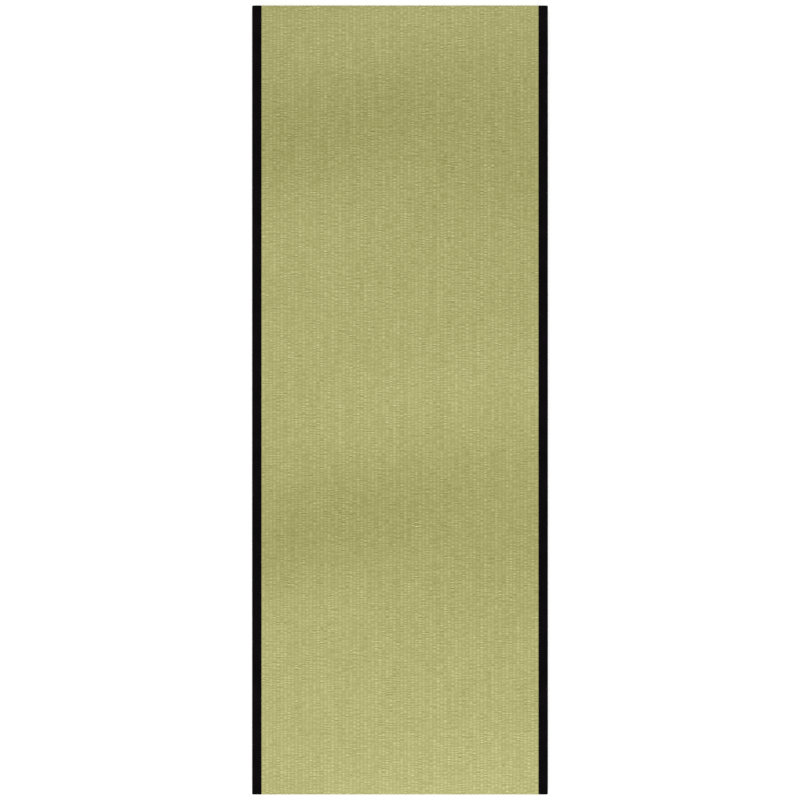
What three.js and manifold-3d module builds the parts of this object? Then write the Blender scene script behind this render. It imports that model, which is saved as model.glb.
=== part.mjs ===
// A tatami mat: a straw board covered with woven rush, with a black cloth edging (heri)
// folded round each long side. Millimetres, +Z up. X runs across the mat and Y along it.
// The origin is the middle of the underside, on the floor.
import * as THREE from 'three';
import { RoundedBoxGeometry } from 'three/addons/geometries/RoundedBoxGeometry.js';
import { mergeVertices } from 'three/addons/utils/BufferGeometryUtils.js';
import Module from 'manifold-3d';

// Driving dimensions of the whole mat.
const MAT_WIDTH = 750;
const MAT_LENGTH = 2000;
const MAT_THICKNESS = 55;

// The cloth edging: how far each flap reaches in from the mat's side, and the cloth itself.
const TOP_FLAP = 24;
const UNDER_FLAP = 35;
const CLOTH = 1.2;
const CLOTH_FOLD_RADIUS = 3;
const FOLD_STEPS = 2;
const FLAP_SHY_OF_END = 10;

// The woven rush face: ribs run along the mat, over both ends and down them.
const RIB_COUNT = 76;
const RIB_HEIGHT = 1.2;
const RIB_PROFILE = [0, 0.78, 1, 0.78];
const CLOTH_ABOVE_RIBS = 0.7;
const END_ROLL_RADIUS = 6;
const END_ROLL_STEPS = 3;
const FOOT_RADIUS = 4;

// Room left between the sewn cloth and the panel, and the small bevel under its folds.
const FIT_GAP = 0.3;
const EDGE_BEVEL = 2;
const STEP_RUN = 0.5;

// Sizes that follow from those above.
const HALF_WIDTH = MAT_WIDTH / 2;
const HALF_LENGTH = MAT_LENGTH / 2;
const PANEL_SIDE = HALF_WIDTH - CLOTH - FIT_GAP;
const PANEL_UNDER_CLOTH_TOP = MAT_THICKNESS - CLOTH - FIT_GAP;
const PANEL_UNDER_CLOTH_END = HALF_LENGTH - CLOTH - FIT_GAP;
const PANEL_OVER_CLOTH_BOTTOM = CLOTH + FIT_GAP;
const RIB_CREST_TOP = MAT_THICKNESS - CLOTH_ABOVE_RIBS;
const RIB_CREST_END = HALF_LENGTH;
const FACE_HALF_WIDTH = HALF_WIDTH - TOP_FLAP - FIT_GAP - STEP_RUN;
const BARE_FOOT_HALF_WIDTH = HALF_WIDTH - UNDER_FLAP - FIT_GAP;
const RIB_PITCH = (2 * FACE_HALF_WIDTH) / RIB_COUNT;

// How high the ribbed face stands above its valleys, at a distance x across the mat.
function ribHeight(x) {
  const along = ((x + FACE_HALF_WIDTH) / RIB_PITCH) * RIB_PROFILE.length;
  const index = Math.floor(along + 1e-9);
  const from = RIB_PROFILE[index % RIB_PROFILE.length];
  const to = RIB_PROFILE[(index + 1) % RIB_PROFILE.length];
  return RIB_HEIGHT * THREE.MathUtils.lerp(from, to, along - index);
}

// The panel's top, half length and underside at a distance x across the mat: ribbed where the
// rush shows, level where the cloth lies on it, and bevelled at the very side.
function panelLevels(x) {
  const side = Math.abs(x);
  const bevel = Math.max(0, side - (PANEL_SIDE - EDGE_BEVEL));
  const ribbed = side <= FACE_HALF_WIDTH;
  const sunk = ribbed ? ribHeight(x) - RIB_HEIGHT : 0;
  const step = THREE.MathUtils.clamp((side - BARE_FOOT_HALF_WIDTH) / STEP_RUN + 1, 0, 1);
  return {
    top: ribbed ? RIB_CREST_TOP + sunk : PANEL_UNDER_CLOTH_TOP - bevel,
    end: ribbed ? RIB_CREST_END + sunk : PANEL_UNDER_CLOTH_END - bevel,
    bottom: step * PANEL_OVER_CLOTH_BOTTOM + bevel,
  };
}

// The places across the mat where the panel's section changes.
function panelStations() {
  const places = [];
  for (let i = 0; i <= RIB_COUNT * RIB_PROFILE.length; i += 1) {
    places.push(-FACE_HALF_WIDTH + (i * RIB_PITCH) / RIB_PROFILE.length);
  }
  for (const side of [-1, 1]) {
    places.push(side * PANEL_SIDE);
    places.push(side * (PANEL_SIDE - EDGE_BEVEL));
    places.push(side * (FACE_HALF_WIDTH + STEP_RUN));
    places.push(side * BARE_FOOT_HALF_WIDTH);
    places.push(side * (BARE_FOOT_HALF_WIDTH - STEP_RUN));
  }
  return places.sort((a, b) => a - b);
}

// One end of the lengthwise section, from the floor up the end and over its roll.
function endOutline({ top, end, bottom }) {
  const points = [
    [HALF_LENGTH - RIB_HEIGHT - FOOT_RADIUS, bottom],
    [end, bottom + FOOT_RADIUS],
  ];
  for (let i = 0; i <= END_ROLL_STEPS; i += 1) {
    const turn = (i / END_ROLL_STEPS) * (Math.PI / 2);
    const along = end - END_ROLL_RADIUS * (1 - Math.cos(turn));
    points.push([along, top - END_ROLL_RADIUS * (1 - Math.sin(turn))]);
  }
  return points;
}

// The whole panel: its lengthwise section, lofted from station to station across the mat.
function panelGeometry() {
  const stations = panelStations();
  const positions = [];
  let ring = 0;
  for (const x of stations) {
    const half = endOutline(panelLevels(x));
    const outline = [...half, ...half.map(([y, z]) => [-y, z]).reverse()];
    ring = outline.length;
    for (const [y, z] of outline) positions.push(x, y, z);
  }
  const triangles = [];
  for (let s = 0; s + 1 < stations.length; s += 1) {
    for (let j = 0; j < ring; j += 1) {
      const a = s * ring + j;
      const b = s * ring + ((j + 1) % ring);
      triangles.push(a, b, a + ring, b, b + ring, a + ring);
    }
  }
  const last = (stations.length - 1) * ring;
  for (let j = 1; j + 1 < ring; j += 1) {
    triangles.push(0, j + 1, j, last, last + j, last + j + 1);
  }
  const geometry = new THREE.BufferGeometry();
  geometry.setAttribute('position', new THREE.Float32BufferAttribute(positions, 3));
  geometry.setIndex(triangles);
  return geometry;
}

const wasm = await Module();
wasm.setup();

// A closed geometry as a solid for the booleans.
function solidOf(geometry) {
  const bare = geometry.clone();
  bare.deleteAttribute('normal');
  bare.deleteAttribute('uv');
  const merged = mergeVertices(bare, 1e-4);
  const vertProperties = new Float32Array(merged.attributes.position.array);
  const triVerts = new Uint32Array(merged.index.array);
  return new wasm.Manifold(new wasm.Mesh({ numProp: 3, vertProperties, triVerts }));
}

// A solid back as a geometry with flat faces.
function geometryOf(solid) {
  const { vertProperties, triVerts } = solid.getMesh();
  const geometry = new THREE.BufferGeometry();
  geometry.setAttribute('position', new THREE.BufferAttribute(vertProperties, 3));
  geometry.setIndex(new THREE.BufferAttribute(triVerts, 1));
  const faceted = geometry.toNonIndexed();
  faceted.computeVertexNormals();
  return faceted;
}

// A solid box between two corners.
function boxBetween([x0, y0, z0], [x1, y1, z1]) {
  const box = new THREE.BoxGeometry(x1 - x0, y1 - y0, z1 - z0);
  box.translate((x0 + x1) / 2, (y0 + y1) / 2, (z0 + z1) / 2);
  return solidOf(box);
}

// The mat's outer form with its soft folded edges, drawn in all round by an inset.
function foldedForm(inset) {
  const radius = CLOTH_FOLD_RADIUS - inset;
  const form = new RoundedBoxGeometry(
    MAT_WIDTH - 2 * inset,
    MAT_LENGTH - 2 * inset,
    MAT_THICKNESS - 2 * inset,
    FOLD_STEPS,
    radius,
  );
  form.translate(0, 0, MAT_THICKNESS / 2);
  return solidOf(form);
}

// The cloth folded round the right-hand side: a flap on the face, the side, a flap on each
// end, and a wider flap sewn down on the underside.
function edgingSolid() {
  const past = CLOTH;
  const wrap = boxBetween(
    [HALF_WIDTH - TOP_FLAP, -HALF_LENGTH - past, -past],
    [HALF_WIDTH + past, HALF_LENGTH + past, MAT_THICKNESS + past],
  );
  const under = boxBetween(
    [HALF_WIDTH - UNDER_FLAP, -HALF_LENGTH + FLAP_SHY_OF_END, -past],
    [HALF_WIDTH - TOP_FLAP + past, HALF_LENGTH - FLAP_SHY_OF_END, CLOTH],
  );
  const skin = foldedForm(0).subtract(foldedForm(CLOTH));
  return skin.intersect(wrap.add(under));
}

// Adds one named mesh to the mat.
function addPiece(mat, name, geometry, material) {
  const mesh = new THREE.Mesh(geometry, material);
  mesh.name = name;
  mat.add(mesh);
}

const rush = new THREE.MeshStandardMaterial({ color: 0xaeac71, roughness: 0.8, metalness: 0 });
const blackCloth = new THREE.MeshStandardMaterial({ color: 0x131214, roughness: 0.9, metalness: 0 });

const mat = new THREE.Group();
addPiece(mat, 'rush_panel', panelGeometry(), rush);
const rightEdging = edgingSolid();
addPiece(mat, 'edging_right', geometryOf(rightEdging), blackCloth);
addPiece(mat, 'edging_left', geometryOf(rightEdging.mirror([1, 0, 0])), blackCloth);

export default mat;
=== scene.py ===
# %% [markdown]
# # A tatami mat with a black cloth edging
# A tatami is a slab of pressed straw under a tight cover of woven rush. The cover's ribs run along
# the mat, and a strip of cloth is folded round each long side and sewn down underneath. This lesson
# dresses a construction model of the mat: the frame holds its real sizes, and each piece made here
# fits that frame. Everything is in metres, with X across the mat, Y along it and Z up.

# %% Load the construction model
import math

import bpy
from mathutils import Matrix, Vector, noise


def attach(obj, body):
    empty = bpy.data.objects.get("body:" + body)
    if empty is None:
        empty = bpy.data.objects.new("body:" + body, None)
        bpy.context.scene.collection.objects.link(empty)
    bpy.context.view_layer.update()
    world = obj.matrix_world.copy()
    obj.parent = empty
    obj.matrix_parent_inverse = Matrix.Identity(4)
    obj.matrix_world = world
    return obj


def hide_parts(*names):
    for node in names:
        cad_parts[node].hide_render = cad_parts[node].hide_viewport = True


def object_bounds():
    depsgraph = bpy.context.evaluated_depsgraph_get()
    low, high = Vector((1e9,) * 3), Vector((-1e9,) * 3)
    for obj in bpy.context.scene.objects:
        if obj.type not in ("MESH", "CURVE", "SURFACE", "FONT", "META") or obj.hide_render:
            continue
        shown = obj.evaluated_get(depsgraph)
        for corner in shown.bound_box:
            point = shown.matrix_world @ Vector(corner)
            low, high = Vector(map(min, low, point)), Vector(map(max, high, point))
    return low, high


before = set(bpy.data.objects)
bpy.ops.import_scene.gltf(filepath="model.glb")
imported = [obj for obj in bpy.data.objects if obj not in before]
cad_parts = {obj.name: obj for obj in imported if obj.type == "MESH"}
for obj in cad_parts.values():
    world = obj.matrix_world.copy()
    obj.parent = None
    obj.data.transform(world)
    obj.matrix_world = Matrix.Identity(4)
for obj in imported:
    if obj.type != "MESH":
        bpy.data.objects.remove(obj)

CAD_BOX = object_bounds()
print("nodes:", sorted(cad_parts))
print("box:", [tuple(round(value, 4) for value in corner) for corner in CAD_BOX])

# %% [markdown]
# ## Sizes
# The mat's width, length and thickness come from the frame. The rest are sizes that a maker works
# to: how wide the edging is on the face, how far a rib of the weave stands up, and so on. Those
# that the construction model has too are the same there, or a hair off, so that each piece lies
# where its solid lies.

# %% Name the sizes
MM = 0.001
HALF_WIDTH = CAD_BOX[1].x
HALF_LENGTH = CAD_BOX[1].y
THICKNESS = CAD_BOX[1].z

TOP_FLAP = 24 * MM
UNDER_FLAP = 35 * MM
FLAP_SHY_OF_END = 10 * MM
CLOTH = 1.1 * MM
FOLD_RADIUS = 3 * MM

RIB_COUNT = 76
RIB_HEIGHT = 1.2 * MM
RUSH = 0.9 * MM
CLEAR_OF_CLOTH = 0.8 * MM
FACE_HALF_WIDTH = HALF_WIDTH - TOP_FLAP - CLEAR_OF_CLOTH
RIB_PITCH = 2 * FACE_HALF_WIDTH / RIB_COUNT
TUCK = 70 * MM
OFF_FLOOR = 0.1 * MM
print(f"a rib of the weave is {RIB_PITCH / MM:.2f} mm wide")

# %% [markdown]
# ## Camera
# The mat is seen square on from above, with its length up the picture. A long lens, far away, keeps
# its sides out of sight and its edges parallel, as in a catalogue picture.

# %% Place the camera
FIELD = 2.0268
LENS = 150
SENSOR = 36


def add_object(name, data):
    """A new object in the scene, at the origin."""
    made = bpy.data.objects.new(name, data)
    bpy.context.scene.collection.objects.link(made)
    return made


camera = add_object("camera", bpy.data.cameras.new("camera"))
camera.data.lens = LENS
camera.data.sensor_width = SENSOR
camera.location = (0, 0, THICKNESS + FIELD * LENS / SENSOR)
bpy.context.scene.camera = camera
print(f"the camera is {camera.location.z:.2f} m up")

# %% [markdown]
# ## One helper for every node
# Materials and Geometry Nodes are both built from nodes, so one small function adds a node, sets it
# up and links it. Most nodes here do arithmetic, and for those the name of the operation is enough.
# The kinds that come up most have a short name.

# %% Colours and nodes
MATH = "ShaderNodeMath"
VECTORS = "ShaderNodeVectorMath"
JOIN = "ShaderNodeCombineXYZ"
SPLIT = "ShaderNodeSeparateXYZ"
RANGE = "ShaderNodeMapRange"
NOISE = "ShaderNodeTexNoise"


def linear(code):
    """Turns an sRGB hex colour into linear red, green, blue and alpha."""
    shares = [int(code[i : i + 2], 16) / 255 for i in (1, 3, 5)]
    return [s / 12.92 if s <= 0.04045 else ((s + 0.055) / 1.055) ** 2.4 for s in shares] + [1]


def add_node(tree, kind, settings=None, inputs=None):
    """Adds a node with its settings, or its operation. Inputs are values, nodes or outputs."""
    node = tree.nodes.new(kind)
    if isinstance(settings, str):
        settings = {"operation": settings}
    for name, value in (settings or {}).items():
        setattr(node, name, value)
    for key, value in (inputs or {}).items():
        if isinstance(value, bpy.types.Node):
            value = value.outputs[0]
        if isinstance(value, bpy.types.NodeSocket):
            tree.links.new(value, node.inputs[key])
        else:
            node.inputs[key].default_value = value
    return node


def add_up(tree, parts):
    """The sum of several nodes."""
    total = parts[0]
    for part in parts[1:]:
        total = add_node(tree, MATH, "ADD", {0: total, 1: part})
    return total


def new_material(name, roughness, specular):
    """A material with its node tree and its shader."""
    material = bpy.data.materials.new(name)
    material.use_nodes = True
    shader = material.node_tree.nodes["Principled BSDF"]
    shader.inputs["Roughness"].default_value = roughness
    shader.inputs["Specular IOR Level"].default_value = specular
    return material, material.node_tree, shader


def finish_shader(tree, shader, colour, relief):
    """Gives a shader its colour and, as a bump, its finest relief."""
    bump = add_node(tree, "ShaderNodeBump", None, relief)
    tree.links.new(colour.outputs[0], shader.inputs["Base Color"])
    tree.links.new(bump.outputs[0], shader.inputs["Normal"])


def near_whole(tree, value):
    """1 where a value is a whole number, and 0 half-way to the next one."""
    inward = add_node(tree, MATH, "PINGPONG", {0: value, 1: 0.5})
    return add_node(tree, MATH, "MULTIPLY_ADD", {0: inward, 1: -2, 2: 1})


def colour_ramp(tree, share, codes):
    """A ramp through evenly spaced colours."""
    ramp = add_node(tree, "ShaderNodeValToRGB", None, {0: share})
    stops = ramp.color_ramp.elements
    stops[1].color = linear(codes[-1])
    stops[0].color = linear(codes[0])
    for i, code in enumerate(codes[1:-1], 1):
        stops.new(i / (len(codes) - 1)).color = linear(code)
    return ramp


# %% [markdown]
# ## Floor and light
# The mat lies on pale paper that is lit from below as well, like a photographer's light table, so
# that hardly a shadow shows beside it. A white sky, brightest overhead, gives the soft light of a
# catalogue picture, and a large lamp over the mat's near end gives the ribs and folds a light side.

# %% Light the mat
FLOOR_SIZE = 60
FLOOR_GLOW = 0.65
SKY_LOW = 0.4
SKY_OVERHEAD = 1.3
LAMP_PLACE = Vector((-0.5, -2.6, 5.0))
LAMP_SIZE = 3.0
LAMP_WATTS = 110


def light_table():
    """Matt backdrop paper on a lit table: no gloss, and a glow of its own."""
    material, _, shader = new_material("lit_backdrop_paper", roughness=1.0, specular=0.0)
    shader.inputs["Base Color"].default_value = linear("#b4b4b4")
    shader.inputs["Emission Color"].default_value = linear("#ffffff")
    shader.inputs["Emission Strength"].default_value = FLOOR_GLOW
    return material


reach = FLOOR_SIZE / 2
floor_mesh = bpy.data.meshes.new("floor")
corners = [(-reach, -reach, 0), (reach, -reach, 0), (reach, reach, 0), (-reach, reach, 0)]
floor_mesh.from_pydata(corners, [], [(0, 1, 2, 3)])
floor_mesh.materials.append(light_table())
add_object("floor", floor_mesh)


def soft_sky():
    """A white sky that is dimmer near the horizon, so that upright faces read darker."""
    sky = bpy.data.worlds.new("soft_white_sky")
    sky.use_nodes = True
    tree = sky.node_tree
    way = add_node(tree, "ShaderNodeTexCoord").outputs["Generated"]
    height = add_node(tree, SPLIT, None, {0: way}).outputs["Z"]
    levels = {"Value": height, "To Min": SKY_LOW, "To Max": SKY_OVERHEAD}
    strength = add_node(tree, RANGE, None, levels)
    tree.nodes["Background"].inputs["Color"].default_value = linear("#ffffff")
    tree.links.new(strength.outputs[0], tree.nodes["Background"].inputs["Strength"])
    return sky


bpy.context.scene.world = soft_sky()
bpy.context.scene.view_settings.view_transform = "Standard"

lamp = add_object("soft_lamp", bpy.data.lights.new("soft_lamp", "AREA"))
lamp.data.size = LAMP_SIZE
lamp.data.energy = LAMP_WATTS
lamp.location = LAMP_PLACE
lamp.rotation_euler = (-LAMP_PLACE).to_track_quat("-Z", "Y").to_euler()
print("floor, sky and lamp are in place")

# %% [markdown]
# ## Tools for the rule-based pieces
# The woven cover and the stitching repeat hundreds of times, so Geometry Nodes make them. Each tree
# has named inputs for its sizes. Two small functions build a tree's sockets and turn its result
# into a plain mesh.

# %% Geometry Nodes helpers
KINDS = {float: "NodeSocketFloat", int: "NodeSocketInt", bpy.types.Material: "NodeSocketMaterial"}


def new_tree(name, values):
    """An empty Geometry Nodes tree with one named input for each value."""
    tree = bpy.data.node_groups.new(name, "GeometryNodeTree")
    tree.is_modifier = True
    tree.interface.new_socket("Geometry", in_out="INPUT", socket_type="NodeSocketGeometry")
    tree.interface.new_socket("Geometry", in_out="OUTPUT", socket_type="NodeSocketGeometry")
    for label, value in values.items():
        tree.interface.new_socket(label, in_out="INPUT", socket_type=KINDS[type(value)])
    return tree, tree.nodes.new("NodeGroupInput").outputs


def finish_tree(tree, given, geometry):
    """Ends a tree in real faces: instances are realized and given the material."""
    real = add_node(tree, "GeometryNodeRealizeInstances", None, {0: geometry})
    smooth = add_node(tree, "GeometryNodeSetShadeSmooth", None, {0: real})
    finish = {"Geometry": smooth, "Material": given["Material"]}
    dressed = add_node(tree, "GeometryNodeSetMaterial", None, finish)
    add_node(tree, "NodeGroupOutput", None, {0: dressed})


def plain_mesh(name, source):
    """Leaves a plain mesh object in place of an object with live modifiers."""
    graph = bpy.context.evaluated_depsgraph_get()
    mesh = bpy.data.meshes.new_from_object(
        source.evaluated_get(graph), preserve_all_data_layers=True, depsgraph=graph
    )
    bpy.data.objects.remove(source)
    print(f"{name}: {len(mesh.polygons)} faces")
    return add_object(name, mesh)


def grow(name, source, tree, values):
    """Runs a tree on a source object and leaves a plain mesh object in its place."""
    modifier = source.modifiers.new(tree.name, "NODES")
    modifier.node_group = tree
    for item in tree.interface.items_tree:
        if item.in_out == "INPUT" and item.name in values:
            modifier[item.identifier] = values[item.name]
    return plain_mesh(name, source)


def line_object(name, lines):
    """A curve object with one straight-jointed line for each list of points."""
    curve = bpy.data.curves.new(name, "CURVE")
    curve.dimensions = "3D"
    for points in lines:
        spline = curve.splines.new("POLY")
        spline.points.add(len(points) - 1)
        for spot, place in zip(spline.points, points):
            spot.co = (*place, 1)
    return add_object(name, curve)


# %% [markdown]
# ## Finish of the rush
# The cover is woven from dried soft rush: thin, pithy, satin stems with a green tinge that turns to
# straw yellow. On each rib short lengths of rush lie side by side, and each rush that shows on one
# rib dips under the next, so neighbouring ribs are half a step apart. The warp hides in the valleys
# between the ribs. The pattern follows the cloth through the cover's own map, in metres.
#
# A whole mat in one picture shows a rush as less than a pixel, so some layers are drawn coarser
# than the real rush: pairs of rushes, streaks a few rushes long, and rows of lighter floats in
# patches a rib or two wide. All but one of them keep one shade on the whole of each float, as a
# real stem does, and in that one the shade changes along the stem.

# %% Where a point lies in the weave
RUSH_STEP = 1.45 * MM
CREST_FALL = 0.7
CREST_NARROW = 2


def weave_places(tree):
    """Where a point is: its rib, its row of rush, their own x and y, and how near the valley is."""
    place = add_node(tree, "ShaderNodeUVMap", {"uv_map": "rush_cloth"})
    split = add_node(tree, SPLIT, None, {0: place})
    across, along = split.outputs["X"], split.outputs["Y"]
    count = add_node(tree, MATH, "MULTIPLY_ADD", {0: across, 1: 1 / RIB_PITCH, 2: RIB_COUNT / 2})
    rib = add_node(tree, MATH, "FLOOR", {0: count})
    odd = add_node(tree, MATH, "FLOORED_MODULO", {0: rib, 1: 2})
    even_rows = add_node(tree, MATH, "DIVIDE", {0: along, 1: RUSH_STEP})
    rows = add_node(tree, MATH, "MULTIPLY_ADD", {0: odd, 1: 0.5, 2: even_rows})
    row = add_node(tree, MATH, "FLOOR", {0: rows})
    valley = near_whole(tree, count)
    steep = add_node(tree, MATH, "POWER", {0: valley, 1: CREST_NARROW})
    crest = add_node(tree, MATH, "MULTIPLY_ADD", {0: steep, 1: -CREST_FALL, 2: 1})
    x = add_node(tree, MATH, "MULTIPLY", {0: rib, 1: RIB_PITCH})
    y = add_node(tree, MATH, "MULTIPLY", {0: row, 1: RUSH_STEP})
    named = {"across": across, "rib": rib, "odd": odd, "rows": rows, "row": row}
    return {**named, "valley": valley, "crest": crest, "x": x, "y": y}


def spread_out(tree, value, spread):
    """Turns a chance from 0 to 1 into levels of brightness, half of them below zero."""
    return add_node(tree, MATH, "MULTIPLY_ADD", {0: value, 1: spread, 2: -spread / 2})


print(f"{1 / RUSH_STEP:.0f} rushes cross each metre of a rib")

# %% [markdown]
# The shade of the rush comes in layers, each in levels of brightness out of 255. They are the
# single rushes, the streaks, the rows of floats that stand out in patches, the painted shadow
# between two rushes and in the valleys, with painted light in the half rib by the cloth, and the
# bands where the rush is riper or paler. Noise and chance make the fine layers and a few slow waves
# the bands, as no two lengths of rush are alike.

# %% Layers of shade
RUSH_SPREADS = {1: 12, 2: 16}
STREAKS = [
    ("x", 3 * MM, 4.4 * MM, 13),
    ("across", 5 * MM, 3.6 * MM, 30),
    ("x", 3 * MM, 150 * MM, 13),
    ("x", 60 * MM, 60 * MM, 2),
]
FLOAT_ROWS = [
    (6.2 * MM, 29, (17 * MM, 30 * MM)),
    (10.2 * MM, 15, (15 * MM, 45 * MM)),
    (12.2 * MM, 7, (15 * MM, 60 * MM)),
]
PATCH_FADE = (0.25, 0.75)
CREST_GAIN = 1.1
# Painted shadow in the fine line where one rush meets the next.
GAP_LEVELS = 14
GAP_NARROW = 4
# Painted shade in the valleys, added to the ribs' own shading, and painted light on the half rib by
# the cloth.
VALLEY_LEVELS = 9.9
VALLEY_NARROW = 2.5
BY_CLOTH_PAINTED_LIGHT = 14
BANDS = [
    (5.4, 1, 0.10, 0.145),
    (2.4, 2, -0.10, -0.035),
    (0.9, 3, -0.40, -0.066),
    (1.2, 0.5, -0.50, 0.757),
    (0.8, 2, -0.70, 0.050),
]
PALER_TO_NEAR_END = 3.2
ALL_LEVELS = -2.6


def rush_chances(tree, places):
    """Each rush, and each pair of them, is a little lighter or darker than the next."""
    layers = []
    for rushes, spread in RUSH_SPREADS.items():
        group = add_node(tree, MATH, "DIVIDE", {0: places["row"], 1: rushes})
        first = add_node(tree, MATH, "FLOOR", {0: group})
        cell = add_node(tree, JOIN, None, {0: places["rib"], 1: first, 2: rushes})
        chance = add_node(tree, "ShaderNodeTexWhiteNoise", None, {"Vector": cell})
        layers.append(spread_out(tree, chance, spread))
    return layers


def streaks(tree, places):
    """Runs of one shade along a rib, or, for "across", a shade that changes along the stems too.

    A streak has the place it goes by, its width, its length and its spread of levels.
    """
    layers = []
    for side, wide, long, spread in STREAKS:
        x = add_node(tree, MATH, "DIVIDE", {0: places[side], 1: wide})
        y = add_node(tree, MATH, "DIVIDE", {0: places["y"], 1: long})
        place = add_node(tree, JOIN, None, {0: x, 1: y, 2: places["odd"]})
        wave = add_node(tree, NOISE, None, {"Vector": place, "Scale": 1, "Detail": 0})
        layers.append(spread_out(tree, wave, spread))
    return layers


def float_rows(tree, places):
    """Even rows of lighter floats, in patches: each patch has its own strength and first row.

    A layer has the step between its rows, its levels and the size of its patches.
    """
    layers = []
    for step, levels, patch in FLOAT_ROWS:
        x = add_node(tree, MATH, "DIVIDE", {0: places["x"], 1: patch[0]})
        y = add_node(tree, MATH, "DIVIDE", {0: places["y"], 1: patch[1]})
        place = add_node(tree, JOIN, None, {0: x, 1: y, 2: step / MM})
        cell = add_node(tree, "ShaderNodeTexVoronoi", None, {"Vector": place, "Scale": 1})
        chances = add_node(tree, "ShaderNodeSeparateColor", None, {0: cell.outputs["Color"]})
        rows = add_node(tree, MATH, "DIVIDE", {0: places["y"], 1: step})
        late = add_node(tree, MATH, "ADD", {0: rows, 1: chances.outputs["Red"]})
        turns = add_node(tree, MATH, "MULTIPLY", {0: late, 1: math.tau})
        row = add_node(tree, MATH, "COSINE", {0: turns})
        edge = {"Value": cell.outputs["Distance"], "To Min": levels, "To Max": 0.0}
        edge.update({"From Min": PATCH_FADE[0], "From Max": PATCH_FADE[1]})
        fade = add_node(tree, RANGE, None, edge)
        own = add_node(tree, MATH, "MULTIPLY", {0: fade, 1: chances.outputs["Green"]})
        layers.append(add_node(tree, MATH, "MULTIPLY", {0: row, 1: own}))
    return layers


def painted_gap_shadow(tree, places):
    """A fine painted shadow where one rush meets the next."""
    edge = near_whole(tree, places["rows"])
    narrow = add_node(tree, MATH, "POWER", {0: edge, 1: GAP_NARROW})
    lift = GAP_LEVELS / (GAP_NARROW + 1)
    return add_node(tree, MATH, "MULTIPLY_ADD", {0: narrow, 1: -GAP_LEVELS, 2: lift})


def painted_valley_shade(tree, places):
    """Painted shade in the valleys, where rushes dip, and painted light on the half rib by the
    cloth.
    """
    side_on = add_node(tree, MATH, "ABSOLUTE", {0: places["across"]})
    by_cloth = {"Value": side_on, "To Min": -VALLEY_LEVELS, "To Max": BY_CLOTH_PAINTED_LIGHT}
    by_cloth.update({"From Min": FACE_HALF_WIDTH - RIB_PITCH / 2, "From Max": FACE_HALF_WIDTH})
    levels = add_node(tree, RANGE, None, by_cloth)
    narrow = add_node(tree, MATH, "POWER", {0: places["valley"], 1: VALLEY_NARROW})
    lift = VALLEY_LEVELS / (VALLEY_NARROW + 1) + ALL_LEVELS
    return add_node(tree, MATH, "MULTIPLY_ADD", {0: narrow, 1: levels, 2: lift})


def bands(tree):
    """Slow bands along the mat. A band has its levels, waves a metre, slant and first crest."""
    place = add_node(tree, "ShaderNodeTexCoord").outputs["Object"]
    layers = []
    for levels, waves, slant, crest in BANDS:
        turn = math.tau * waves
        slope = {0: place, 1: (slant * turn, turn, 0)}
        phase = add_node(tree, VECTORS, "DOT_PRODUCT", slope).outputs["Value"]
        late = add_node(tree, MATH, "SUBTRACT", {0: phase, 1: turn * crest})
        wave = add_node(tree, MATH, "COSINE", {0: late})
        layers.append(add_node(tree, MATH, "MULTIPLY", {0: wave, 1: levels}))
    fall = {0: place, 1: (0, -PALER_TO_NEAR_END / HALF_LENGTH, 0)}
    layers.append(add_node(tree, VECTORS, "DOT_PRODUCT", fall).outputs["Value"])
    return layers


print("layers of noise, rows and bands:", len(STREAKS), len(FLOAT_ROWS), len(BANDS))

# %% [markdown]
# The relief of single rushes is only a tenth of a millimetre, finer than the mesh, so it is bump.
# Dried rush is satin, not glossy: its skin is smooth, but the weave breaks the reflection up. The
# levels run through a ramp of five tones, because a darker rush is also deeper in colour.

# %% Rush material
RAMP_LEVELS = 90
RUSH_TONES = ["#747236", "#88864b", "#9c9a61", "#b0ae77", "#c4c28d"]
RUSH_RELIEF = 0.14
ROUNDNESS = 0.5
HUE_DRIFT = 0.006
HUE_WAVES = 90
WARMER = 0.0034
WARM_PLACE = -0.33
WARM_REACH = 0.26


def rush_relief(tree, places):
    """The rounded back of each rush."""
    inward = add_node(tree, MATH, "PINGPONG", {0: places["rows"], 1: 0.5})
    crown = add_node(tree, MATH, "POWER", {0: inward, 1: ROUNDNESS})
    return add_node(tree, MATH, "MULTIPLY", {0: crown, 1: RUSH_RELIEF})


def rush_hue(tree, places):
    """The hue drifts a little from stem to stem, and is warmer in one band across the mat."""
    cell = add_node(tree, JOIN, None, {0: places["x"], 1: places["y"]})
    drift = add_node(tree, NOISE, None, {"Vector": cell, "Scale": HUE_WAVES, "Detail": 2})
    hue = add_node(tree, MATH, "MULTIPLY_ADD", {0: drift, 1: HUE_DRIFT, 2: 0.5 - HUE_DRIFT / 2})
    place = add_node(tree, "ShaderNodeTexCoord").outputs["Object"]
    along = add_node(tree, SPLIT, None, {0: place}).outputs["Y"]
    from_band = add_node(tree, MATH, "SUBTRACT", {0: along, 1: WARM_PLACE})
    away = {"Value": add_node(tree, MATH, "ABSOLUTE", {0: from_band}), "From Max": WARM_REACH}
    away.update({"To Min": WARMER, "To Max": 0.0})
    warm = add_node(tree, RANGE, {"interpolation_type": "SMOOTHSTEP"}, away)
    return add_node(tree, MATH, "SUBTRACT", {0: hue, 1: warm})


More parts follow.
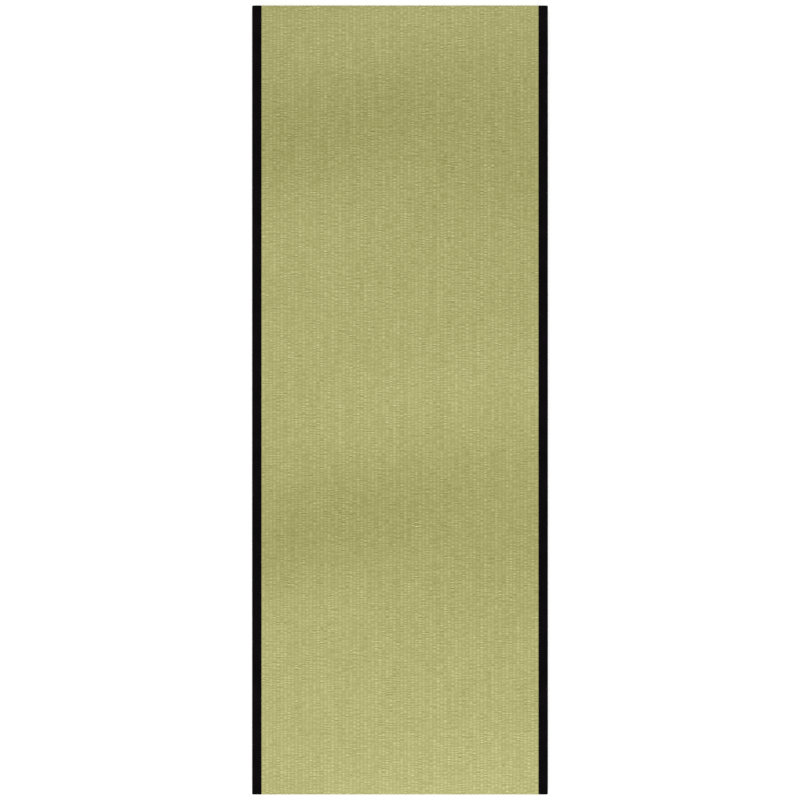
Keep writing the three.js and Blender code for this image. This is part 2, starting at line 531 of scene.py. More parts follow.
def rush_finish():
    """Woven dried rush: satin, straw green, each stem a little lighter or darker than the next."""
    material, tree, shader = new_material("woven_dried_rush", roughness=0.6, specular=0.25)
    places = weave_places(tree)
    stems = rush_chances(tree, places) + streaks(tree, places) + float_rows(tree, places)
    gain = add_node(tree, MATH, "MULTIPLY", {0: places["crest"], 1: CREST_GAIN})
    shown = add_node(tree, MATH, "MULTIPLY", {0: add_up(tree, stems), 1: gain})
    # Painted shadow between the rushes, and painted shade and light in the valleys.
    gaps = [painted_gap_shadow(tree, places), painted_valley_shade(tree, places)]
    total = add_up(tree, [shown] + gaps + bands(tree))
    share = add_node(tree, MATH, "MULTIPLY_ADD", {0: total, 1: 1 / RAMP_LEVELS, 2: 0.5})
    shade = colour_ramp(tree, share, RUSH_TONES)
    hue = rush_hue(tree, places)
    colour = add_node(tree, "ShaderNodeHueSaturation", None, {"Hue": hue, "Color": shade})
    relief = {"Height": rush_relief(tree, places), "Distance": MM, "Strength": 1.0}
    finish_shader(tree, shader, colour, relief)
    return material


RUSH_FINISH = rush_finish()
print("rush material:", len(RUSH_FINISH.node_tree.nodes), "nodes")

# %% [markdown]
# ## The woven cover
# The cover is one length of woven rush. It starts under one end of the mat, comes up the end, rolls
# over the edge, runs along the face, and goes down and under the other end. A section swept along
# that path is the natural way to make it: the path is a line in the plane X = 0, and the section is
# a thin closed ring across the mat, with a point for each part of each rib.

# %% Path of the cover
ROLL_RADIUS = 3.4 * MM
FOOT_RADIUS = 2.8 * MM
BELOW_CLOTH = 0.7 * MM
INSIDE_CLOTH = 1.5 * MM
END_RIB_SHARE = 0.55
END_PROUD = 0.4 * MM
TOP_STEPS = 80
END_STEPS = 4
ARC_STEPS = 4


def arc(centre, radius, start, end):
    """Points of an arc round a centre in the plane of Y and Z, with its angles in degrees."""
    turns = [math.radians(start + (end - start) * i / ARC_STEPS) for i in range(ARC_STEPS + 1)]
    return [(centre[0] + radius * math.cos(t), centre[1] + radius * math.sin(t)) for t in turns]


def spaced(first, last, steps):
    """Points evenly between two places, without the two places themselves."""
    shares = [i / steps for i in range(1, steps)]
    return [tuple(a + (b - a) * share for a, b in zip(first, last)) for share in shares]


def cover_path():
    """The cover's line, from under the far end, over the face, to under the near end."""
    end = HALF_LENGTH + END_PROUD - END_RIB_SHARE * RIB_HEIGHT
    top = THICKNESS - BELOW_CLOTH - RIB_HEIGHT
    low = RIB_HEIGHT + OFF_FLOOR
    foot = arc((end - FOOT_RADIUS, low + FOOT_RADIUS), FOOT_RADIUS, -90, 0)
    roll = arc((end - ROLL_RADIUS, top - ROLL_RADIUS), ROLL_RADIUS, 0, 90)
    start = (HALF_LENGTH - TUCK, low)
    half = [start, *spaced(start, foot[0], END_STEPS), *foot]
    half += [*spaced(foot[-1], roll[0], END_STEPS), *roll]
    other = [(-y, z) for y, z in reversed(half)]
    return half + spaced(half[-1], other[0], TOP_STEPS) + other


PATH = cover_path()
COVER_WIDTH = 2 * (HALF_WIDTH - INSIDE_CLOTH)
COVER_LENGTH = sum(math.dist(a, b) for a, b in zip(PATH, PATH[1:]))
print(f"the cover is {COVER_LENGTH:.3f} m long before it is sewn on")

# %% [markdown]
# Each point of the section and of the path remembers how far across the band it is, how far along,
# and which way is out, so that the ribs and the maps can be worked out after the sweep. This sweep
# leaves its faces pointing inwards, so one node turns them over.

# %% Section and sweep
COVER_SIZES = {
    "Half width": COVER_WIDTH / 2,
    "Half face": FACE_HALF_WIDTH,
    "Half tuck": HALF_WIDTH - UNDER_FLAP - 1 * MM,
    "Tuck": TUCK,
    "Cover length": COVER_LENGTH,
    "Ribs": RIB_COUNT,
    "Steps per rib": 6,
    "Rib height": RIB_HEIGHT,
    "Rib fullness": 2.2,
    "End rib share": END_RIB_SHARE,
    "Rush thickness": RUSH,
    "Pressed in": 0.3 * MM,
    "Seam": 14 * MM,
    "Seam share": 0.15,
    "Unevenness": 0.15 * MM,
    "Waves a metre": 9.0,
    "Material": RUSH_FINISH,
}
CORNERS = 4


def cover_section(tree, given):
    """A ring with a point for each part of each rib, and four corners."""
    last = add_node(tree, MATH, "MULTIPLY", {0: given["Ribs"], 1: given["Steps per rib"]})
    total = add_node(tree, MATH, "ADD", {0: last, 1: 1.0 + CORNERS})
    ring = add_node(tree, "GeometryNodeCurvePrimitiveCircle", None, {"Resolution": total})
    index = add_node(tree, "GeometryNodeInputIndex")
    share = add_node(tree, MATH, "DIVIDE", {0: index, 1: last})
    offset = add_node(tree, MATH, "MULTIPLY_ADD", {0: share, 1: 2.0, 2: -1.0})
    rib_x = add_node(tree, MATH, "MULTIPLY", {0: offset, 1: given["Half face"]})
    wide = given["Half width"]
    minus_wide = add_node(tree, MATH, "MULTIPLY", {0: wide, 1: -1.0})
    inside = add_node(tree, MATH, "MULTIPLY", {0: given["Rush thickness"], 1: -1.0})
    places = [{0: rib_x}, {0: wide}, {0: wide, 1: inside}]
    places += [{0: minus_wide, 1: inside}, {0: minus_wide}]
    past = add_node(tree, MATH, "SUBTRACT", {0: index, 1: last})
    which = add_node(tree, MATH, "MAXIMUM", {0: past, 1: 0.0})
    choice = add_node(tree, "GeometryNodeIndexSwitch", {"data_type": "VECTOR"})
    while len(choice.index_switch_items) < len(places):
        choice.index_switch_items.new()
    tree.links.new(which.outputs[0], choice.inputs["Index"])
    for i, place in enumerate(places, 1):
        spot = add_node(tree, JOIN, None, place)
        tree.links.new(spot.outputs[0], choice.inputs[i])
    return add_node(tree, "GeometryNodeSetPosition", None, {"Geometry": ring, "Position": choice})


def remember(tree, geometry, kind, label, value, domain="POINT"):
    """Keeps a value on each point, for use after the sweep, or on each corner, as a map."""
    settings = {"data_type": kind, "domain": domain}
    stored = {"Geometry": geometry, "Name": label, "Value": value}
    return add_node(tree, "GeometryNodeStoreNamedAttribute", settings, stored)


def sweep(tree, given):
    """The smooth band: the section swept along the path, with its faces turned outwards."""
    spot = add_node(tree, SPLIT, None, {0: add_node(tree, "GeometryNodeInputPosition")})
    outer = add_node(tree, MATH, "GREATER_THAN", {0: spot.outputs["Y"], 1: -RUSH / 2})
    section = cover_section(tree, given)
    section = remember(tree, section, "FLOAT", "across", spot.outputs["X"])
    section = remember(tree, section, "FLOAT", "outer_side", outer)
    tangent = add_node(tree, "GeometryNodeInputTangent")
    out = add_node(tree, VECTORS, "CROSS_PRODUCT", {0: tangent, 1: (1.0, 0.0, 0.0)})
    distance = add_node(tree, "GeometryNodeSplineParameter").outputs["Length"]
    path = remember(tree, given["Geometry"], "FLOAT", "along", distance)
    path = remember(tree, path, "FLOAT_VECTOR", "outward", out)
    swept = {"Curve": path, "Profile Curve": section, "Fill Caps": True}
    band = add_node(tree, "GeometryNodeCurveToMesh", None, swept)
    return add_node(tree, "GeometryNodeFlipFaces", None, {"Mesh": band})


print("points round the section:", RIB_COUNT * COVER_SIZES["Steps per rib"] + 1 + CORNERS)

# %% [markdown]
# The sweep leaves a smooth band, and the ribs are then raised on its outer side. A ribbed section
# would be simpler, but real ribs are pressed flat where they are sewn down, under the cloth and at
# both ends of the cover, and they are pulled lower where the cover turns down the mat's end.

# %% Ribs
HAIR = 0.01 * MM


def recall(tree, label, kind="FLOAT"):
    """Reads a value that the points were given before the sweep."""
    return add_node(tree, "GeometryNodeInputNamedAttribute", {"data_type": kind}, {"Name": label})


def rib_arch(tree, given):
    """An arch over each rib's width, from 0 in the valleys to 1 on the crests."""
    from_edge = add_node(tree, MATH, "ADD", {0: recall(tree, "across"), 1: given["Half face"]})
    face = add_node(tree, MATH, "MULTIPLY", {0: given["Half face"], 1: 2.0})
    pitch = add_node(tree, MATH, "DIVIDE", {0: face, 1: given["Ribs"]})
    ribs = add_node(tree, MATH, "DIVIDE", {0: from_edge, 1: pitch})
    steep = add_node(tree, MATH, "POWER", {0: near_whole(tree, ribs), 1: given["Rib fullness"]})
    return add_node(tree, MATH, "SUBTRACT", {0: 1.0, 1: steep})


def ribs_show(tree, given, from_end):
    """1 where the ribs are free, and 0 under the cloth: its flap is wider on the underside."""
    under = add_node(tree, MATH, "LESS_THAN", {0: from_end, 1: given["Tuck"]})
    narrower = add_node(tree, MATH, "SUBTRACT", {0: given["Half tuck"], 1: given["Half face"]})
    half = add_node(tree, MATH, "MULTIPLY_ADD", {0: narrower, 1: under, 2: given["Half face"]})
    side_on = add_node(tree, MATH, "ABSOLUTE", {0: recall(tree, "across")})
    spare = add_node(tree, MATH, "ADD", {0: half, 1: HAIR})
    return add_node(tree, MATH, "LESS_THAN", {0: side_on, 1: spare})


def raise_ribs(tree, given, band):
    """Lifts the band's outer side into ribs, a little unevenly."""
    along = recall(tree, "along")
    other_end = add_node(tree, MATH, "SUBTRACT", {0: given["Cover length"], 1: along})
    from_end = add_node(tree, MATH, "MINIMUM", {0: along, 1: other_end})
    seam = {"Value": from_end, "From Max": given["Seam"], "To Min": given["Seam share"]}
    free = add_node(tree, RANGE, None, seam)
    raised = add_node(tree, MATH, "MULTIPLY", {0: rib_arch(tree, given), 1: given["Rib height"]})
    outward = recall(tree, "outward", "FLOAT_VECTOR")
    facing = add_node(tree, SPLIT, None, {0: outward}).outputs["Y"]
    on_end = {"Value": add_node(tree, MATH, "ABSOLUTE", {0: facing}), "To Min": 1.0}
    on_end["To Max"] = given["End rib share"]
    pulled = add_node(tree, RANGE, None, on_end)
    looser = add_node(tree, MATH, "MULTIPLY", {0: raised, 1: pulled})
    eased = add_node(tree, MATH, "MULTIPLY", {0: looser, 1: free})
    waves = {"Vector": add_node(tree, "GeometryNodeInputPosition"), "Scale": given["Waves a metre"]}
    wave = add_node(tree, NOISE, None, waves)
    centred = add_node(tree, MATH, "MULTIPLY_ADD", {0: wave, 1: 2.0, 2: -1.0})
    swell = {0: centred, 1: given["Unevenness"], 2: eased}
    uneven = add_node(tree, MATH, "MULTIPLY_ADD", swell)
    full = add_node(tree, MATH, "ADD", {0: uneven, 1: given["Pressed in"]})
    shown = add_node(tree, MATH, "MULTIPLY", {0: full, 1: ribs_show(tree, given, from_end)})
    height = add_node(tree, MATH, "SUBTRACT", {0: shown, 1: given["Pressed in"]})
    lift = add_node(tree, MATH, "MULTIPLY", {0: height, 1: recall(tree, "outer_side")})
    move = add_node(tree, VECTORS, "SCALE", {0: outward, "Scale": lift})
    return add_node(tree, "GeometryNodeSetPosition", None, {"Geometry": band, "Offset": move})


# %% [markdown]
# The cover carries two maps. One is the cloth's own, in metres, which the weave follows. The other
# lays the cover out for a baked picture: its outer side in two columns, each with half the length,
# so that along the mat a texel is narrower than a rush, and its hidden inner side in a narrow strip.

# %% Maps of the cover
COLUMN = 0.475
COLUMN_STEP = 0.495
MARGIN = 0.01
STRIP = (0.985, 0.999)
OUTER_SHARE = 0.75


def bake_places(tree, given):
    """Places in the baked picture. A face is in one column or the other, never in both."""
    across, along = recall(tree, "across"), recall(tree, "along")
    by_face = [
        add_node(tree, "GeometryNodeFieldOnDomain", {"domain": "FACE"}, {0: value})
        for value in (along, recall(tree, "outer_side"))
    ]
    half = add_node(tree, MATH, "MULTIPLY", {0: given["Cover length"], 1: 0.5})
    second = add_node(tree, MATH, "GREATER_THAN", {0: by_face[0], 1: half})
    inner = add_node(tree, MATH, "LESS_THAN", {0: by_face[1], 1: OUTER_SHARE})
    width = add_node(tree, MATH, "MULTIPLY", {0: given["Half width"], 1: 2.0})
    share = add_node(tree, MATH, "DIVIDE", {0: across, 1: width})
    from_side = add_node(tree, MATH, "ADD", {0: share, 1: 0.5})
    column = add_node(tree, MATH, "MULTIPLY_ADD", {0: second, 1: COLUMN_STEP, 2: MARGIN})
    u = add_node(tree, MATH, "MULTIPLY_ADD", {0: from_side, 1: COLUMN, 2: column})
    lengths = add_node(tree, MATH, "DIVIDE", {0: along, 1: half})
    rest = add_node(tree, MATH, "SUBTRACT", {0: lengths, 1: second})
    v = add_node(tree, MATH, "MULTIPLY_ADD", {0: rest, 1: 1 - 2 * MARGIN, 2: MARGIN})
    in_strip = {0: from_side, 1: STRIP[1] - STRIP[0], 2: STRIP[0]}
    strip_u = add_node(tree, MATH, "MULTIPLY_ADD", in_strip)
    strip_v = add_node(tree, MATH, "MULTIPLY", {0: lengths, 1: 0.5})
    outer_place = add_node(tree, JOIN, None, {0: u, 1: v})
    strip_place = add_node(tree, JOIN, None, {0: strip_u, 1: strip_v})
    either = {"Switch": inner, "False": outer_place, "True": strip_place}
    return add_node(tree, "GeometryNodeSwitch", {"input_type": "VECTOR"}, either)


def cover_tree():
    """The whole cover: swept, ribbed and mapped."""
    tree, given = new_tree("ribbed_rush_cover", COVER_SIZES)
    ribbed = raise_ribs(tree, given, sweep(tree, given))
    cloth = {0: recall(tree, "across"), 1: recall(tree, "along")}
    flat = add_node(tree, JOIN, None, cloth)
    baked = bake_places(tree, given)
    mapped = remember(tree, ribbed, "FLOAT2", "rush_cloth", flat, "CORNER")
    mapped = remember(tree, mapped, "FLOAT2", "OFBake", baked, "CORNER")
    finish_tree(tree, given, mapped)
    return tree


path_line = line_object("cover_path", [[(0, y, z) for y, z in PATH]])
cover = grow("rush_cover", path_line, cover_tree(), COVER_SIZES)

# %% [markdown]
# ## Box-shaped pieces
# The edging cloth and the straw board both follow a box with soft edges. Each starts as flat grids
# on the box's faces that share their border points. Then every point moves onto the rounded form:
# it is pushed out from the nearest point of a smaller box inside by the radius of the edges.

# %% Grids on a box
EDGE_STEPS = 4


def stations(start, edge, step, radius):
    """Places from a start to a rounded edge, about a step apart and closer where the edge turns."""
    count = math.ceil((edge - radius - start) / step)
    straight = [start + (edge - radius - start) * i / count for i in range(count + 1)]
    turns = [math.tan(math.radians(45 * i / EDGE_STEPS)) for i in range(1, EDGE_STEPS)]
    return straight + [edge - radius + radius * t for t in turns] + [edge]


def both_ways(places):
    """Places on both sides of the first of them."""
    return [2 * places[0] - p for p in reversed(places[1:])] + places


def box_skin(patches):
    """Joins flat grids. A patch has an axis, its level, a side, and places on the next two."""
    spots, faces, axes = {}, [], []
    for axis, level, side, first, second in patches:
        for a0, a1 in zip(first, first[1:]):
            for b0, b1 in zip(second, second[1:]):
                face = []
                for a, b in [(a0, b0), (a1, b0), (a1, b1), (a0, b1)][::side]:
                    spot = [0.0, 0.0, 0.0]
                    spot[axis] = level
                    spot[(axis + 1) % 3] = a
                    spot[(axis + 2) % 3] = b
                    face.append(spots.setdefault(tuple(spot), len(spots)))
                faces.append(face)
                axes.append(axis * side if axis else 0)
    return list(spots), faces, axes


def rounded(place, low, high, radius):
    """A box's surface point moved onto the box with rounded edges, and the way out there."""
    core = Vector([min(max(p, a + radius), b - radius) for p, a, b in zip(place, low, high)])
    out = (Vector(place) - core).normalized()
    return core + radius * out, out


print("steps round each soft edge:", 2 * EDGE_STEPS)

# %% [markdown]
# ## Finish of the edging
# The edging is closely woven black cotton, which takes nearly all the light. Its threads run along
# and across the strip, and two crossed waves make them, in the shade and in the relief. They are
# drawn at twice their real spacing of 0.4 mm, so that they show. The shade drifts a little, as on
# cloth that has been handled.

# %% Cotton material
THREAD_SPACING = 0.8 * MM
COTTON_TONES = ["#020102", "#080608", "#100d10"]
THREAD_SHADE = 0.3
THREAD_RELIEF = 0.2 * MM
HANDLED_WAVES = 18


def cotton_finish():
    """Plain-woven black cotton: deep, matt, with a faint bloom at a low angle."""
    name = "plain_woven_black_cotton"
    material, tree, shader = new_material(name, roughness=0.95, specular=0.03)
    place = add_node(tree, "ShaderNodeUVMap", {"uv_map": "edging_cloth"})
    turns = add_node(tree, VECTORS, "SCALE", {0: place, "Scale": math.pi / THREAD_SPACING})
    waves = add_node(tree, VECTORS, "SINE", {0: turns})
    split = add_node(tree, SPLIT, None, {0: waves})
    weave = add_node(tree, MATH, "MULTIPLY", {0: split.outputs["X"], 1: split.outputs["Y"]})
    drift = add_node(tree, NOISE, None, {"Vector": place, "Scale": HANDLED_WAVES, "Detail": 4})
    thread = add_node(tree, MATH, "MULTIPLY_ADD", {0: weave, 1: THREAD_SHADE, 2: drift})
    relief = {"Height": weave, "Distance": THREAD_RELIEF, "Strength": 1.0}
    finish_shader(tree, shader, colour_ramp(tree, thread, COTTON_TONES), relief)
    shader.inputs["Sheen Weight"].default_value = 0.03
    shader.inputs["Sheen Roughness"].default_value = 0.5
    return material


COTTON_FINISH = cotton_finish()
print("cotton material:", len(COTTON_FINISH.node_tree.nodes), "nodes")

# %% [markdown]
# ## The edging
# One strip of cotton, the heri, is folded round each long side: a narrow flap on the face, the
# side, a flap on each end, and a wider flap sewn down on the underside. Its edge on the face is
# turned under, so the cloth is double there. Only the outer skin is made point by point. Modifiers
# then thicken it inwards and soften its rims, because they keep the wall even round each fold.

# %% Edging cloths
EDGING_LOW = (-HALF_WIDTH, -HALF_LENGTH, 0.3 * MM)
EDGING_HIGH = (HALF_WIDTH, HALF_LENGTH, THICKNESS)
DOUBLED = 2.0 * MM
TURNED_UNDER = 5 * MM
RIM_BEVEL = 0.4 * MM
RIM_ANGLE = 50
CLOTH_UNEVEN = 0.12 * MM
UNEVEN_SCALE = 14
EDGING_GRID = (2.6 * MM, 4 * MM, 5 * MM)
LENGTH_PARTS = 75
FLAP_PARTS = 4


def edging_patches():
    """The flat grids of the right-hand strip: face, side, two ends and underside."""
    inner = HALF_WIDTH - TOP_FLAP
    middle = (EDGING_LOW[2] + EDGING_HIGH[2]) / 2
    shy = HALF_LENGTH - FLAP_SHY_OF_END
    x = stations(inner, HALF_WIDTH, EDGING_GRID[0], FOLD_RADIUS)
    near_end = stations(shy, HALF_LENGTH, EDGING_GRID[1], FOLD_RADIUS)
    z = both_ways(stations(middle, THICKNESS, EDGING_GRID[2], FOLD_RADIUS))
    y_shy = both_ways([shy * i / LENGTH_PARTS for i in range(LENGTH_PARTS + 1)])
    y = [-p for p in reversed(near_end[1:])] + y_shy + near_end[1:]
    part = (UNDER_FLAP - TOP_FLAP) / FLAP_PARTS
    flap = [HALF_WIDTH - UNDER_FLAP + part * i for i in range(FLAP_PARTS)] + [inner]
    return [
        (2, EDGING_HIGH[2], 1, x, y),
        (0, EDGING_HIGH[0], 1, y, z),
        (1, EDGING_HIGH[1], 1, z, x),
        (1, EDGING_LOW[1], -1, z, x),
        (2, z[0], -1, x, y),
        (2, z[0], -1, flap, y_shy),
    ]


def strip_place(place, axis):
    """A point's place on the flat strip, in metres, by the face of the box that it is on."""
    x, y, z = place
    from_fold = x - (HALF_WIDTH - TOP_FLAP)
    down = THICKNESS - z
    if axis == 0:
        return TOP_FLAP + down, y
    if abs(axis) == 1:
        return from_fold, y + axis * down
    return (from_fold, y) if axis > 0 else (2 * TOP_FLAP + THICKNESS - from_fold, y)


def edging_skin(name, mirror):
    """The outer skin of one strip, with its map and with the doubled edge marked."""
    spots, faces, axes = box_skin(edging_patches())
    mesh = bpy.data.meshes.new(name)
    places = []
    for spot in spots:
        place, out = rounded(spot, EDGING_LOW, EDGING_HIGH, FOLD_RADIUS)
        place.x *= mirror
        out.x *= mirror
        swell = noise.noise(place * UNEVEN_SCALE) * CLOTH_UNEVEN
        places.append(place + out * swell)
    mesh.from_pydata(places, [], [face[::mirror] for face in faces])
    flat = mesh.uv_layers.new(name="edging_cloth")
    for polygon, axis in zip(mesh.polygons, axes):
        for loop in polygon.loop_indices:
            spot = spots[mesh.loops[loop].vertex_index]
            flat.data[loop].uv = strip_place(spot, axis)
    skin = add_object(name, mesh)
    fold = skin.vertex_groups.new(name="doubled")
    for i, (x, y, z) in enumerate(spots):
        past = x - (HALF_WIDTH - TOP_FLAP)
        if past < TURNED_UNDER and z > FOLD_RADIUS:
            fold.add([i], 1.0, "REPLACE")
    return skin


def edging_cloth(name, mirror):
    """One strip with its thickness, its doubled edge and its soft rims."""
    skin = edging_skin(name + "_skin", mirror)
    wall = skin.modifiers.new("thickness", "SOLIDIFY")
    wall.thickness = DOUBLED
    wall.offset = -1
    wall.vertex_group = "doubled"
    wall.thickness_vertex_group = CLOTH / DOUBLED
    rim = skin.modifiers.new("soft_rim", "BEVEL")
    rim.width = RIM_BEVEL
    rim.segments = 2
    rim.limit_method = "ANGLE"
    rim.angle_limit = math.radians(RIM_ANGLE)
    cloth = plain_mesh(name, skin)
    cloth.data.materials.append(COTTON_FINISH)
    cloth.data.shade_smooth()
    return cloth


heri_right = edging_cloth("heri_right", 1)
heri_left = edging_cloth("heri_left", -1)

# %% [markdown]
# ## Straw board
# Under the cover is the board: rice straw laid in crossed layers, pressed, and stitched through in
# rows. It shows only on the underside, between the sewn-down flaps. Voronoi cells drawn out along
# the mat make the stalks, because each cell has one shade and a clear edge. Painted shadow darkens
# the gaps between the stalks, which are about as wide as real flattened straw and wander a little
# on their way.

# %% Straw material
STRAW_TONES = ["#7f6a3a", "#a8925a", "#bfab74", "#d3c28f", "#e2d5ab"]
STALK = 4 * MM
STALK_LENGTH = 150 * MM
STALK_WANDER = 8 * MM
STALK_SHADE = 0.7
FIBRE_SHADE = 0.4
# Painted shadow in the gaps between stalks, and how far from a gap it reaches.
STALK_GAP_SHADOW = -0.35
GAP_REACH = 0.12
STALK_RISE = 0.3
STALK_RELIEF = 0.5 * MM


def straw_finish():
    """Pressed rice straw: pale gold, dull, in flattened stalks of many shades."""
    material, tree, shader = new_material("pressed_rice_straw", roughness=0.8, specular=0.2)
    place = add_node(tree, "ShaderNodeTexCoord").outputs["Object"]
    slow = add_node(tree, NOISE, None, {"Vector": place, "Scale": 4, "Detail": 1})
    aside = add_node(tree, MATH, "MULTIPLY", {0: slow, 1: STALK_WANDER})
    sideways = add_node(tree, JOIN, None, {0: aside})
    bent = add_node(tree, VECTORS, "ADD", {0: place, 1: sideways})
    stretch = {"Vector": bent, "Scale": (1 / STALK, 1 / STALK_LENGTH, 1 / STALK)}
    stalks = add_node(tree, "ShaderNodeMapping", None, stretch)
    cell = add_node(tree, "ShaderNodeTexVoronoi", None, {"Vector": stalks, "Scale": 1})
    chance = add_node(tree, "ShaderNodeSeparateColor", None, {0: cell.outputs["Color"]})
    grain = add_node(tree, NOISE, None, {"Vector": stalks, "Scale": 5, "Detail": 2})
    edges = {"Vector": stalks, "Scale": 1}
    gap = add_node(tree, "ShaderNodeTexVoronoi", {"feature": "DISTANCE_TO_EDGE"}, edges)
    # Painted shadow darkens the gaps between stalks.
    near = {"Value": gap, "From Max": GAP_REACH, "To Min": STALK_GAP_SHADOW, "To Max": 0.0}
    dark = add_node(tree, RANGE, None, near)
    share = {0: chance.outputs["Red"], 1: STALK_SHADE, 2: dark}
    own = add_node(tree, MATH, "MULTIPLY_ADD", share)
    shade = add_node(tree, MATH, "MULTIPLY_ADD", {0: grain, 1: FIBRE_SHADE, 2: own})
    rise = add_node(tree, RANGE, None, {"Value": gap, "From Max": STALK_RISE})
    relief = {"Height": rise, "Distance": STALK_RELIEF}
    finish_shader(tree, shader, colour_ramp(tree, shade, STRAW_TONES), relief)
    return material


STRAW_FINISH = straw_finish()
print("straw material:", len(STRAW_FINISH.node_tree.nodes), "nodes")

# %% [markdown]
# The board is a box with soft edges. Its underside is pressed up where the flaps and the tucked
# cover lie on it, and drawn in along each row of stitches. Both are plain rules of a point's place,
# so each point of the grid is simply moved by them.

# %% Board
BOARD_HIGH = (HALF_WIDTH - 1.8 * MM, HALF_LENGTH - 2.8 * MM, THICKNESS - 3 * MM)
BOARD_LOW = (-BOARD_HIGH[0], -BOARD_HIGH[1], 0.6 * MM)
BOARD_RADIUS = 4 * MM
BOARD_GRID = (5 * MM, 24 * MM, 12 * MM)
OVER_FLAPS = 1.7 * MM
FLAP_CLEARANCE = 4 * MM
FLAP_RAMP = 10 * MM
STITCH_ROW_STEP = 30 * MM
STITCH_DIMPLE = 1.4 * MM
STITCH_ROW_HALF = 330 * MM


def board_underside(x, y):
    """How far the underside is drawn up: over the flaps, and along each row of stitches."""
    inside_x = HALF_WIDTH - UNDER_FLAP - FLAP_CLEARANCE - abs(x)
    inside_y = HALF_LENGTH - TUCK - FLAP_CLEARANCE - abs(y)
    share = min(max(min(inside_x, inside_y) / FLAP_RAMP, 0), 1)
    over = OVER_FLAPS * (1 - share * share * (3 - 2 * share))
    row = abs(x / STITCH_ROW_STEP - round(x / STITCH_ROW_STEP)) * STITCH_ROW_STEP
    dimple = STITCH_DIMPLE * max(0, 1 - row / BOARD_GRID[0]) * share
    return over + dimple


def straw_board():
    """The pressed board: a box with soft edges and a stitched underside."""
    half_x = stations(0, BOARD_HIGH[0], BOARD_GRID[0], BOARD_RADIUS)
    half_y = stations(0, BOARD_HIGH[1], BOARD_GRID[1], BOARD_RADIUS)
    middle = (BOARD_LOW[2] + BOARD_HIGH[2]) / 2
    x, y = both_ways(half_x), both_ways(half_y)
    z = both_ways(stations(middle, BOARD_HIGH[2], BOARD_GRID[2], BOARD_RADIUS))
    patches = [(2, BOARD_HIGH[2], 1, x, y), (2, z[0], -1, x, y), (0, x[-1], 1, y, z)]
    patches += [(0, x[0], -1, y, z), (1, y[-1], 1, z, x), (1, y[0], -1, z, x)]
    spots, faces, _ = box_skin(patches)
    places = []
    for spot in spots:
        place, _ = rounded(spot, BOARD_LOW, BOARD_HIGH, BOARD_RADIUS)
        low_share = max(0, 1 - (place.z - BOARD_LOW[2]) / BOARD_RADIUS)
        place.z += board_underside(place.x, place.y) * low_share
        places.append(place)
    mesh = bpy.data.meshes.new("straw_board")
    mesh.from_pydata(places, [], faces)
    mesh.materials.append(STRAW_FINISH)
    mesh.shade_smooth()
    print("straw_board:", len(mesh.polygons), "faces")
    return add_object("straw_board", mesh)


board = straw_board()

# %% [markdown]
# ## Sewing
# Strong hemp thread holds the flaps down on the underside, along the edging and across the tucked
# ends of the cover, and runs through the board in rows. Slanting waves make its twisted strands.

# %% Thread material
THREAD_TONES = ["#a3946c", "#c4b68e", "#d8cca8"]
STRANDS = 700
STRAND_BEND = 0.4
STRAND_RELIEF = 0.1 * MM


def thread_finish():
    """Twisted undyed hemp: matt, pale, with slanting strands."""
    material, tree, shader = new_material("twisted_hemp_thread", roughness=0.85, specular=0.2)
    place = add_node(tree, "ShaderNodeTexCoord").outputs["Object"]
    strands = {"Vector": place, "Scale": STRANDS, "Distortion": STRAND_BEND}
    twist = add_node(tree, "ShaderNodeTexWave", {"bands_direction": "DIAGONAL"}, strands)
    relief = {"Height": twist, "Distance": STRAND_RELIEF}
    finish_shader(tree, shader, colour_ramp(tree, twist, THREAD_TONES), relief)
    return material


THREAD_FINISH = thread_finish()
print("thread material:", len(THREAD_FINISH.node_tree.nodes), "nodes")

# %% [markdown]
# A stitch is one bowed length of thread whose ends dive into the cloth. Geometry Nodes set one on
# each point of a resampled row, because a rule keeps hundreds of them even. A row has its distance
# from the middle line, its half length and its height, or, across the mat, the other way round.

# %% Stitches
STITCH_SIZES = {
    "Pitch": 25 * MM,
    "Stitch": 15 * MM,
    "Thread radius": 0.55 * MM,
    "Dip": 1.4 * MM,
    "Bow steps": 6,
    "Thread sides": 5,
    "Material": THREAD_FINISH,
}
EDGING_ROW = (HALF_WIDTH - 31 * MM, HALF_LENGTH - 21 * MM, 0.62 * MM)
TUCK_ROW = (STITCH_ROW_HALF + 5 * MM, HALF_LENGTH - TUCK + 9 * MM, 0.9 * MM)
BOARD_ROW = (STITCH_ROW_HALF, HALF_LENGTH - TUCK - 15 * MM, 0.9 * MM)


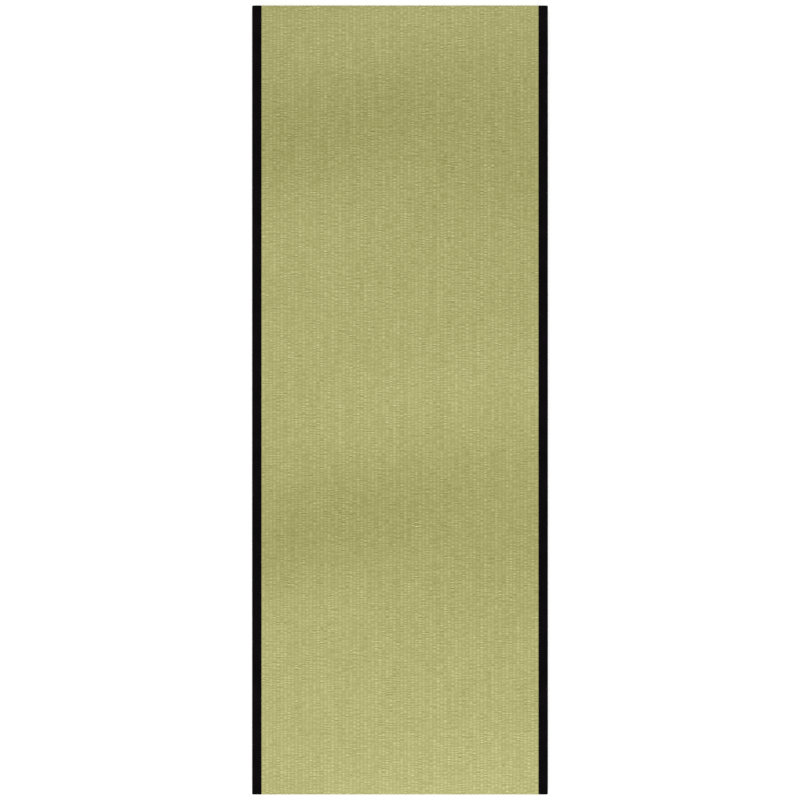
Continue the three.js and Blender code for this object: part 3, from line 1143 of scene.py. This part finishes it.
def stitch_tree():
    """Sets a bowed stitch on each point of the rows, turned to run along its row."""
    tree, given = new_tree("sewn_stitches", STITCH_SIZES)
    rows = {"Curve": given["Geometry"], "Length": given["Pitch"]}
    spots = add_node(tree, "GeometryNodeResampleCurve", {"mode": "LENGTH"}, rows)
    half = add_node(tree, MATH, "MULTIPLY", {0: given["Stitch"], 1: 0.5})
    back = add_node(tree, MATH, "MULTIPLY", {0: half, 1: -1.0})
    below = add_node(tree, MATH, "MULTIPLY", {0: given["Dip"], 1: -1.0})
    ends = [
        add_node(tree, JOIN, None, {0: x, 2: z})
        for x, z in ((back, given["Dip"]), (0.0, below), (half, given["Dip"]))
    ]
    bow = {"Resolution": given["Bow steps"], "Start": ends[0], "Middle": ends[1], "End": ends[2]}
    line = add_node(tree, "GeometryNodeCurveQuadraticBezier", None, bow)
    ring = {"Resolution": given["Thread sides"], "Radius": given["Thread radius"]}
    round_ring = add_node(tree, "GeometryNodeCurvePrimitiveCircle", None, ring)
    thread = {"Curve": line, "Profile Curve": round_ring, "Fill Caps": True}
    stitch = add_node(tree, "GeometryNodeCurveToMesh", None, thread)
    tangent = add_node(tree, "GeometryNodeInputTangent")
    turning = {"axis": "X", "pivot_axis": "Z"}
    turn = add_node(tree, "FunctionNodeAlignRotationToVector", turning, {"Vector": tangent})
    seated = {"Points": spots, "Instance": stitch, "Rotation": turn}
    finish_tree(tree, given, add_node(tree, "GeometryNodeInstanceOnPoints", None, seated))
    return tree


def stitch_rows():
    """The rows: two along the edging, two across the tucks, and the board's own."""
    x, y, z = EDGING_ROW
    rows = [[(side * x, -y, z), (side * x, y, z)] for side in (-1, 1)]
    x, y, z = TUCK_ROW
    rows += [[(-x, side * y, z), (x, side * y, z)] for side in (-1, 1)]
    x, y, z = BOARD_ROW
    count = round(x / STITCH_ROW_STEP)
    spots = [i * STITCH_ROW_STEP for i in range(-count, count + 1)]
    return rows + [[(spot, -y, z), (spot, y, z)] for spot in spots]


row_lines = line_object("stitch_rows", stitch_rows())
thread = grow("sewing_thread", row_lines, stitch_tree(), STITCH_SIZES)

# %% [markdown]
# ## Seats
# The mat has no joints, so every piece rides on its one body. The cover and the board stand for the
# panel's solid, and each strip of cloth for its own. The cover and the strips are cloth. A strip is
# as long as the mat with one thickness down at each end, and as wide as the three widths that it
# covers and the part that is turned under.

for piece, node, slot in (
    (cover, "rush_panel", "woven_rush"),
    (board, "rush_panel", None),
    (heri_right, "edging_right", "black_cloth"),
    (heri_left, "edging_left", "black_cloth"),
    (thread, None, None),
):
    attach(piece, "root")
    if node:
        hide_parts(node)
